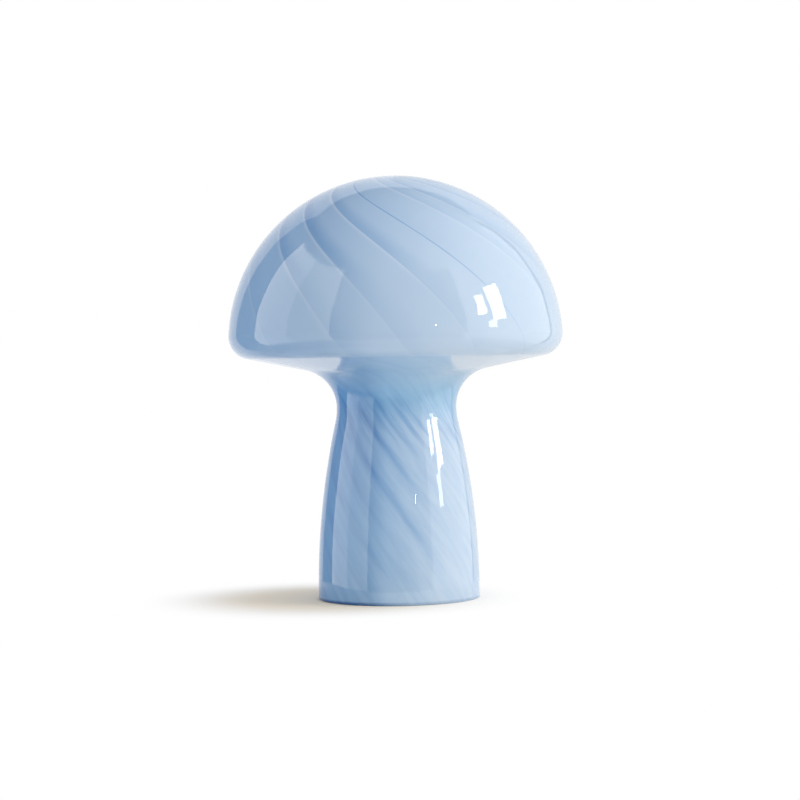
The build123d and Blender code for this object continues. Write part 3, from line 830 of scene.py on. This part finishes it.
# Green solder mask: glossy, and lighter where copper lies beneath.
material, tree, shader = new_material("green_solder_mask", {"IOR": 1.55, "Roughness": 0.35})
spread_cells(tree, shader, copper_size, copper_stops, "MANHATTAN")
dress("driver_board", material)

# Black shrink sleeve: tight and glossy, with slight ripples round the can.
material, tree, shader = new_material("black_shrink_sleeve", {"IOR": 1.54})
ripples = raise_grain(tree, shader, shrink_size, shrink_height, drawn=shrink_drawn)
vary(tree, shader, ripples, shrink_colours, shrink_roughness)
dress("driver_capacitor", material)

# ---------------------------------------------------------------- glass body
# Cap and stem are one bubble of opal glass. Blue and milky strips were laid side by side and
# twisted on the pipe, so sixteen swirls run from the top, under the rim and down the stem.
# The foot was cut flat and its edges polished, with a small arch at the back for the cord.
lamp_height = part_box("glass_body")[1].z
glass_wall = 4.0 * mm
dome_radius = 127.0 * mm
rim_round = 18.0 * mm
underside_slope = radians(11.6)
neck_radius = 45.5 * mm
neck_height = 145.0 * mm
flare_round = 29.0 * mm
waist_round = 50.0 * mm
stem_slope = radians(13.0)
base_radius = 61.3 * mm
foot_polish = 1.2 * mm
notch_width = 10.0 * mm
notch_height = 10.0 * mm
notch_steps = 32
glass_steps = 192  # faces round the axis
stem_rows = 40
waist_rows = 8
flare_rows = 24
underside_rows = 16
rim_rows = 20
dome_rows = 48
glass_wave = 0.22 * mm  # how far the blown surface dips
wave_length = 55.0 * mm
wave_start = 20.0 * mm  # the ground foot is true, and the waves grow up to this height

dome_centre = Vector((0, 0, lamp_height - dome_radius))
flare_centre = Vector((neck_radius + flare_round, 0, neck_height))
waist_centre = Vector((neck_radius + waist_round, 0, neck_height))


def upright(angle):
    """A unit vector in the XZ plane, turned up from X by the angle."""
    return Vector((cos(angle), 0, sin(angle)))


def draw_arc(mesh, vertex, centre, angle, steps):
    """Carry a vertex round a centre in the XZ plane, and give back the last vertex."""
    spun = bmesh.ops.spin(
        mesh, geom=[vertex], cent=centre, axis=(0, -1, 0), angle=angle, steps=steps
    )
    return [piece for piece in spun["geom_last"] if isinstance(piece, bmesh.types.BMVert)][0]


def draw_glass(mesh, inset):
    """Half outline of one face of the wall, from the foot to the top, moved in by the inset."""
    # the stem's arc runs on from the waist's arc and ends at the foot
    waist_end = waist_centre - upright(stem_slope) * (waist_round + inset)
    foot = Vector((base_radius - inset, 0, 0))
    chord = foot - waist_end
    stem_radius = -chord.length_squared / (2 * chord.dot(upright(stem_slope)))
    stem_centre = waist_end - upright(stem_slope) * stem_radius
    stem_turn = (foot - stem_centre).angle(waist_end - stem_centre)
    # the rim's arc slides out along the underside until it meets the dome
    flare_end = flare_centre + upright(pi / 2 + underside_slope) * (flare_round + inset)
    along = upright(underside_slope)
    rim_centre = flare_end + upright(pi / 2 + underside_slope) * (rim_round - inset)
    ahead = (rim_centre - dome_centre).dot(along)
    short = (rim_centre - dome_centre).length_squared - (dome_radius - rim_round) ** 2
    run = sqrt(ahead**2 - short) - ahead
    rim_centre = rim_centre + along * run
    lean = (rim_centre - dome_centre).z / (dome_radius - rim_round)
    rim_end = atan2(lean, sqrt(1 - lean**2))
    start = mesh.verts.new(foot)
    last = draw_arc(mesh, start, stem_centre, stem_turn, stem_rows)
    last = draw_arc(mesh, last, waist_centre, -stem_slope, waist_rows)
    last = draw_arc(mesh, last, flare_centre, underside_slope - pi / 2, flare_rows)
    last = draw_line(mesh, last, along * run / underside_rows, underside_rows)
    last = draw_arc(mesh, last, rim_centre, pi / 2 - underside_slope + rim_end, rim_rows)
    draw_arc(mesh, last, dome_centre, pi / 2 - rim_end, dome_rows)
    return start


# The swirl turns fast at the top and slows down over the dome. Below the rim it gains the
# same turn for each radius of wall, so its stripes keep one slope down the stem.
swirl_start = 2.25  # degrees of turn for each degree of dome, at the top
swirl_slowing = 0.0175  # how much less that is for each degree from the top
swirl_below = 0.70  # radians of turn for each radius of wall


def lay_swirl(verts, layer):
    """Give each vertex of a half outline the swirl's turn there, in radians."""
    turn = 0.0
    above = None
    for vertex in verts:
        if above:
            step = (vertex.co - above).length
            polar = (vertex.co - dome_centre).angle(Vector((0, 0, 1)))
            if vertex.co.z > dome_centre.z:
                turn += (swirl_start - swirl_slowing * degrees(polar)) * step / dome_radius
            else:
                turn += swirl_below * step / max(vertex.co.x, neck_radius)
        vertex[layer] = turn
        above = vertex.co.copy()


mesh = bmesh.new()
swirl = mesh.verts.layers.float.new("swirl")
feet = []
for inset in (0.0, glass_wall):
    before = len(mesh.verts)
    feet.append(draw_glass(mesh, inset))
    lay_swirl(reversed(mesh.verts[before:]), swirl)
mesh.edges.new(feet)
spin_round(mesh, glass_steps)
ring = folds_below(mesh, 0.0)
bmesh.ops.bevel(
    mesh, geom=ring, offset=foot_polish, segments=4, profile=0.5, affect="EDGES", material=-1
)
for vertex in mesh.verts:
    dip = 0.5 - 0.5 * noise.noise(vertex.co / wave_length)
    free = min(1.0, vertex.co.z / wave_start)
    vertex.co -= vertex.normal * glass_wave * dip * free
glass = new_piece("swirled_glass", mesh)

mesh = bmesh.new()
bmesh.ops.create_cone(
    mesh,
    cap_ends=True,
    segments=notch_steps,
    radius1=notch_width / 2,
    radius2=notch_width / 2,
    depth=2 * base_radius,
    matrix=Matrix.Translation((0, base_radius, notch_height - notch_width / 2))
    @ Matrix.Rotation(pi / 2, 4, "X"),
)
for vertex in mesh.verts:
    if vertex.co.z < notch_height - notch_width / 2 - touch:
        vertex.co.x = notch_width / 2 * (1 if vertex.co.x > 0 else -1)
        vertex.co.z = -notch_height
cutter = new_piece("cord_notch_cutter", mesh)
cut = glass.modifiers.new("cord_notch", "BOOLEAN")
cut.operation = "DIFFERENCE"
cut.object = cutter
cut_glass = glass.evaluated_get(bpy.context.evaluated_depsgraph_get())
glass_mesh = bpy.data.meshes.new_from_object(cut_glass)
glass.modifiers.clear()
glass.data = glass_mesh
bpy.data.objects.remove(cutter)

# Blown opal glass, fire-polished: mirror-smooth, and milky enough that light spreads inside
# the wall and no lamp shows through. Where two strips were joined there is a thin dark line on
# the cap, which is drawn out to a soft dark stripe on the stem. The blue is deepest after a
# line and milkiest before it. Light and shade are painted into it too: paler where it faces the
# window light, and deeper away from it, with painted shade down the stem, under the cap and
# along the foot.
# painted light: deep blue on the side away from the window light, paler where it faces it
shaded_side_colour = linear("#80B2E5")
lit_side_colour = linear("#C6D7E9")
lit_side_angle = radians(-40.0)  # where the window light falls, so the colour is painted palest, round from +X
# painted shade: the stem is tinted bluer and darker, most on the side away from the window light
stem_shade_tint = linear("#E2F5FF")
stem_shade_share = 2.4  # how soon the stem takes that painted shade on, away from the window light
shade_tint = linear("#E4EAF0")  # painted shade: a little greyer, away from the window light
shade_from = 0.76  # how far a spot faces the window light, from 0 to 1, where this starts
shade_to_low = 0.63  # where it is full, below the rim
shade_to_high = 0.48  # where it is full, high on the cap
shade_high = 0.79  # that height, as a share of the lamp's
line_tint = linear("#91BFE6")
line_width = 1.1 * mm  # on each side of its middle
stem_line_width = 5.5 * mm
deep_tint = linear("#AFCFE8")
milk_colour = linear("#F4F7FA")
milk_share = 0.3  # how milky a strip's edge gets
milk_width = 5.0 * mm
# painted shade under the cap: the neck is tinted darker and bluer
neck_shade_tint = linear("#DBF5FF")
neck_shade_height = neck_height + 10.0 * mm
neck_reach = 30.0 * mm  # how far up and down the neck's painted shade and its clouds go
cloud_height = neck_height - 10.0 * mm
cloud_most = 0.85  # how strong the clouds are at that height
cloud_least = 0.28
cloud_from = 0.42  # the streaks above this make them
cloud_to = 0.72
streak_size = 5.0 * mm
streak_length = 34.0 * mm
streak_detail = 3.0
streak_roughness = 0.55
uneven_from = 0.30  # streaks below this leave the least of a line
uneven_to = 0.60
uneven_least = 0.55
calm_from = 0.66  # how far a spot faces the window light where the pattern starts to be painted calmer
calm_to = 0.96
calmed_cap = 0.65  # how much of the pattern is left where it faces the window light most
calmed_stem = 0.20
foot_shade_tint = linear("#6C98BE")  # painted shade: a dark line along the foot, where it stands on the table
foot_line = 3.0 * mm
foot_line_least = 0.3  # how much of it is left on the side facing the window light
ripple_size = 16.0 * mm  # the unevenness that hand work leaves in the gloss
ripple_height = 0.15 * mm
first_line = radians(-239.5)  # its place at the top of the lamp
strips = [  # degrees to the next; how strong its line, the deep blue after and the milk before are
    (21, 0.35, 0.80, 0.55),
    (24, 0.30, 1.00, 0.60),
    (22, 0.45, 0.70, 0.70),
    (28, 1.00, 0.12, 0.05),
    (14, 0.20, 0.25, 0.60),
    (23, 0.35, 0.35, 0.70),
    (21, 0.40, 0.40, 0.60),
    (24, 0.75, 0.40, 0.45),
    (21, 0.35, 0.50, 0.60),
    (22, 0.30, 0.35, 0.35),
    (25, 0.30, 0.45, 0.55),
    (19, 0.35, 0.35, 0.30),
    (23, 1.00, 0.80, 0.60),
    (21, 0.90, 0.70, 0.60),
    (25, 0.35, 0.35, 0.50),
    (27, 0.45, 0.45, 0.60),
]
strips_by_height = [  # height as a share of the lamp's; how strong lines, blue and milk are
    (0.00, 0.35, 0.35, 0.60),
    (0.15, 0.60, 0.55, 0.60),
    (0.32, 0.65, 0.60, 0.50),
    (0.40, 0.35, 0.45, 0.20),
    (0.52, 0.10, 0.15, 0.00),
    (0.60, 0.20, 0.15, 0.10),
    (0.66, 0.45, 0.15, 0.25),
    (0.74, 0.80, 0.20, 0.70),
    (0.81, 1.00, 0.65, 1.00),
    (1.00, 0.90, 0.80, 1.00),
]

material, tree, shader = new_material(
    "blown_opal_glass",
    {
        "Roughness": 0.03,
        "IOR": 1.5,
        "Subsurface Weight": 0.25,
        "Subsurface Radius": (0.6, 0.8, 1.0),
        "Subsurface Scale": 5.0 * mm,
    },
)
raise_grain(tree, shader, ripple_size, ripple_height, detail=0.0)
spot = add(tree, "ShaderNodeTexCoord").outputs["Object"]
height = add(tree, "ShaderNodeSeparateXYZ", {0: spot}).outputs["Z"]

# the strips are counted round the axis, with the swirl turned back
swirl = add(tree, "ShaderNodeAttribute", attribute_name="swirl").outputs["Fac"]
unturn = add(tree, "ShaderNodeMath", {0: -first_line - pi, 1: swirl}, operation="SUBTRACT")
unturned = add(
    tree,
    "ShaderNodeVectorRotate",
    {"Vector": spot, "Angle": unturn.outputs[0]},
    rotation_type="Z_AXIS",
)
flat = add(tree, "ShaderNodeSeparateXYZ", {0: unturned.outputs[0]}).outputs
azimuth = add(tree, "ShaderNodeMath", {0: flat["Y"], 1: flat["X"]}, operation="ARCTAN2")
round_share = add(
    tree, "ShaderNodeMapRange", {"Value": azimuth.outputs[0], "From Min": -pi, "From Max": pi}
)
places = add(tree, "ShaderNodeValToRGB", {0: round_share.outputs[0]})
stops = []
passed = 0.0
for number, strip in enumerate(strips):
    stops.append((passed / 360, grey(number / len(strips))))
    passed += strip[0]
fill_ramp(places.color_ramp, stops + [(1.0, grey(1.0))])
counted = add(
    tree,
    "ShaderNodeMath",
    {0: places.outputs[0], 1: float(len(strips)), 2: 0.5},
    operation="MULTIPLY_ADD",
).outputs[0]
nearest = add(tree, "ShaderNodeMath", {0: counted, 1: 1.0 / len(strips)}, operation="MULTIPLY")
nearest = add(tree, "ShaderNodeMath", {0: nearest.outputs[0]}, operation="FRACT")
strengths = add(tree, "ShaderNodeValToRGB", {0: nearest.outputs[0]})
fill_ramp(
    strengths.color_ramp,
    [(number / len(strips), [*strip[1:], 1]) for number, strip in enumerate(strips)],
    "CONSTANT",
)
high_share = add(tree, "ShaderNodeMath", {0: height, 1: lamp_height}, operation="DIVIDE")
by_height = add(tree, "ShaderNodeValToRGB", {0: high_share.outputs[0]})
fill_ramp(by_height.color_ramp, [(place, [*three, 1]) for place, *three in strips_by_height])
strengths = add(
    tree,
    "ShaderNodeVectorMath",
    {0: strengths.outputs[0], 1: by_height.outputs[0]},
    operation="MULTIPLY",
)

# how far a spot faces the window light: that side is painted paler, and its pattern calmer
level = add(
    tree,
    "ShaderNodeMapRange",
    {"Value": height, "From Min": neck_height, "From Max": lamp_height, "To Max": dome_radius},
)
outward = add(tree, "ShaderNodeVectorMath", {0: spot, 1: (1, 1, 0)}, operation="MULTIPLY").outputs[0]
level = add(tree, "ShaderNodeCombineXYZ", {"Z": level.outputs[0]}).outputs[0]
outward = add(tree, "ShaderNodeVectorMath", {0: outward, 1: level}, operation="ADD").outputs[0]
outward = add(tree, "ShaderNodeVectorMath", {0: outward}, operation="NORMALIZE").outputs[0]
facing_light = add(
    tree,
    "ShaderNodeVectorMath",
    {0: outward, 1: (cos(lit_side_angle), sin(lit_side_angle), 0.0)},
    operation="DOT_PRODUCT",
)
facing_light = add(
    tree, "ShaderNodeMapRange", {"Value": facing_light.outputs["Value"], "From Min": -1.0, "From Max": 1.0}
)
calm = add(
    tree,
    "ShaderNodeMapRange",
    {
        "Value": height,
        "From Min": neck_height,
        "From Max": dome_centre.z,
        "To Min": calmed_stem,
        "To Max": calmed_cap,
    },
)
calm = add(
    tree,
    "ShaderNodeMapRange",
    {
        "Value": facing_light.outputs[0],
        "From Min": calm_from,
        "From Max": calm_to,
        "To Min": 1.0,
        "To Max": calm.outputs[0],
    },
)
strengths = add(
    tree,
    "ShaderNodeVectorMath",
    {0: strengths.outputs[0], "Scale": calm.outputs[0]},
    operation="SCALE",
)
strengths = add(tree, "ShaderNodeSeparateXYZ", {0: strengths.outputs[0]}).outputs

# how far a point is past the nearest line, as a share of a strip and in metres
across = add(tree, "ShaderNodeMath", {0: counted}, operation="FRACT")
across = add(tree, "ShaderNodeMath", {0: across.outputs[0], 1: 0.5}, operation="SUBTRACT").outputs[0]
out_by = add(tree, "ShaderNodeCombineXYZ", {"X": flat["X"], "Y": flat["Y"]}).outputs[0]
radius = add(tree, "ShaderNodeVectorMath", {0: out_by}, operation="LENGTH").outputs["Value"]
wide = add(tree, "ShaderNodeMath", {0: radius, 1: 2 * pi / len(strips)}, operation="MULTIPLY")
past = add(tree, "ShaderNodeMath", {0: across, 1: wide.outputs[0]}, operation="MULTIPLY").outputs[0]
off = add(tree, "ShaderNodeMath", {0: past}, operation="ABSOLUTE")
soft = add(
    tree,
    "ShaderNodeMapRange",
    {
        "Value": height,
        "From Min": neck_height,
        "From Max": dome_centre.z,
        "To Min": stem_line_width,
        "To Max": line_width,
    },
).outputs[0]
before = add(tree, "ShaderNodeMath", {0: soft, 1: -1.0}, operation="MULTIPLY")
after = add(
    tree, "ShaderNodeMapRange", {"Value": past, "From Min": before.outputs[0], "From Max": soft}
).outputs[0]
line = add(
    tree,
    "ShaderNodeMapRange",
    {"Value": off.outputs[0], "From Max": soft, "To Min": strengths["X"], "To Max": 0.0},
    interpolation_type="SMOOTHSTEP",
)
deep = add(
    tree,
    "ShaderNodeMapRange",
    {"Value": across, "From Max": 0.5, "To Min": strengths["Y"], "To Max": 0.0},
    interpolation_type="SMOOTHSTEP",
)
deep = add(tree, "ShaderNodeMath", {0: deep.outputs[0], 1: after}, operation="MULTIPLY")
milk = add(
    tree,
    "ShaderNodeMapRange",
    {"Value": past, "From Min": -milk_width, "From Max": 0.0, "To Max": strengths["Z"]},
    interpolation_type="SMOOTHSTEP",
)
ahead_of = add(tree, "ShaderNodeMath", {0: 1.0, 1: after}, operation="SUBTRACT")
milk = add(
    tree, "ShaderNodeMath", {0: milk.outputs[0], 1: ahead_of.outputs[0]}, operation="MULTIPLY"
)
milk = add(tree, "ShaderNodeMath", {0: milk.outputs[0], 1: milk_share}, operation="MULTIPLY")

# cloudy streaks inside the strips, drawn out along the swirl and strongest at the neck
ahead = add(tree, "ShaderNodeVectorMath", {0: out_by}, operation="NORMALIZE").outputs[0]
ahead = add(
    tree,
    "ShaderNodeVectorMath",
    {0: ahead, "Scale": neck_radius / streak_size},
    operation="SCALE",
).outputs[0]
lift = add(tree, "ShaderNodeMath", {0: height, 1: 1.0 / streak_length}, operation="MULTIPLY")
lift = add(tree, "ShaderNodeCombineXYZ", {"Z": lift.outputs[0]}).outputs[0]
streak_spot = add(tree, "ShaderNodeVectorMath", {0: ahead, 1: lift}, operation="ADD").outputs[0]
streaks = add(
    tree,
    "ShaderNodeTexNoise",
    {
        "Vector": streak_spot,
        "Scale": 1.0,
        "Detail": streak_detail,
        "Roughness": streak_roughness,
    },
).outputs["Fac"]
cloudy = add(tree, "ShaderNodeMath", {0: height, 1: cloud_height}, operation="SUBTRACT")
cloudy = add(tree, "ShaderNodeMath", {0: cloudy.outputs[0]}, operation="ABSOLUTE")
cloudy = add(
    tree,
    "ShaderNodeMapRange",
    {
        "Value": cloudy.outputs[0],
        "From Max": neck_reach,
        "To Min": cloud_most,
        "To Max": cloud_least,
    },
    interpolation_type="SMOOTHSTEP",
)
below = add(
    tree,
    "ShaderNodeMapRange",
    {"Value": height, "From Min": dome_centre.z, "From Max": neck_height},
)
cloud = add(
    tree,
    "ShaderNodeMapRange",
    {"Value": streaks, "From Min": cloud_from, "From Max": cloud_to},
)
cloud = add(
    tree, "ShaderNodeMath", {0: cloud.outputs[0], 1: cloudy.outputs[0]}, operation="MULTIPLY"
)
cloud = add(
    tree, "ShaderNodeMath", {0: cloud.outputs[0], 1: below.outputs[0]}, operation="MULTIPLY"
)
uneven = add(
    tree,
    "ShaderNodeMapRange",
    {
        "Value": streaks,
        "From Min": uneven_from,
        "From Max": uneven_to,
        "To Min": uneven_least,
        "To Max": 1.0,
    },
)
line = add(
    tree, "ShaderNodeMath", {0: line.outputs[0], 1: uneven.outputs[0]}, operation="MULTIPLY"
)

# painted shade: the tints of the stem and the side away from the window light, of the neck under the
# cap, and along the foot
# painted shade on the stem, away from the window light
stem_shade_amount = add(tree, "ShaderNodeMath", {0: 1.0, 1: facing_light.outputs[0]}, operation="SUBTRACT")
stem_shade_amount = add(
    tree, "ShaderNodeMath", {0: stem_shade_amount.outputs[0], 1: stem_shade_share}, operation="MULTIPLY"
)
stem_shade_amount = add(
    tree,
    "ShaderNodeMath",
    {0: stem_shade_amount.outputs[0], 1: below.outputs[0]},
    operation="MULTIPLY",
    use_clamp=True,
)
# painted shade under the cap
neck = add(tree, "ShaderNodeMath", {0: height, 1: neck_shade_height}, operation="SUBTRACT")
neck = add(tree, "ShaderNodeMath", {0: neck.outputs[0]}, operation="ABSOLUTE")
neck = add(
    tree,
    "ShaderNodeMapRange",
    {"Value": neck.outputs[0], "From Max": neck_reach, "To Min": 1.0, "To Max": 0.0},
    interpolation_type="SMOOTHSTEP",
)
# painted shade on the side away from the window light
shade_to = add(
    tree,
    "ShaderNodeMapRange",
    {
        "Value": height,
        "From Min": dome_centre.z,
        "From Max": shade_high * lamp_height,
        "To Min": shade_to_low,
        "To Max": shade_to_high,
    },
)
shade = add(
    tree,
    "ShaderNodeMapRange",
    {"Value": facing_light.outputs[0], "From Min": shade_from, "From Max": shade_to.outputs[0]},
)
# painted shade along the foot, weakest where it faces the window light
foot = add(tree, "ShaderNodeMath", {0: stem_shade_amount.outputs[0], 1: foot_line_least}, operation="MAXIMUM")
foot = add(
    tree,
    "ShaderNodeMapRange",
    {
        "Value": height,
        "From Min": foot_line / 2,
        "From Max": foot_line,
        "To Min": foot.outputs[0],
        "To Max": 0.0,
    },
)
colour = shaded_side_colour
for amount, tint, blend in (
    (facing_light, lit_side_colour, "MIX"),
    (stem_shade_amount, stem_shade_tint, "MULTIPLY"),
    (neck, neck_shade_tint, "MULTIPLY"),
    (shade, shade_tint, "MULTIPLY"),
    (milk, milk_colour, "MIX"),
    (deep, deep_tint, "MULTIPLY"),
    (cloud, deep_tint, "MULTIPLY"),
    (line, line_tint, "MULTIPLY"),
    (foot, foot_shade_tint, "MULTIPLY"),
):
    colour = add(
        tree,
        "ShaderNodeMix",
        {0: amount.outputs[0], 6: colour, 7: tint},
        data_type="RGBA",
        blend_type=blend,
    ).outputs[2]
tree.links.new(colour, shader.inputs["Base Color"])
glass.data.materials.clear()
glass.data.materials.append(material)
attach(glass, "glass")
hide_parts("glass_body")
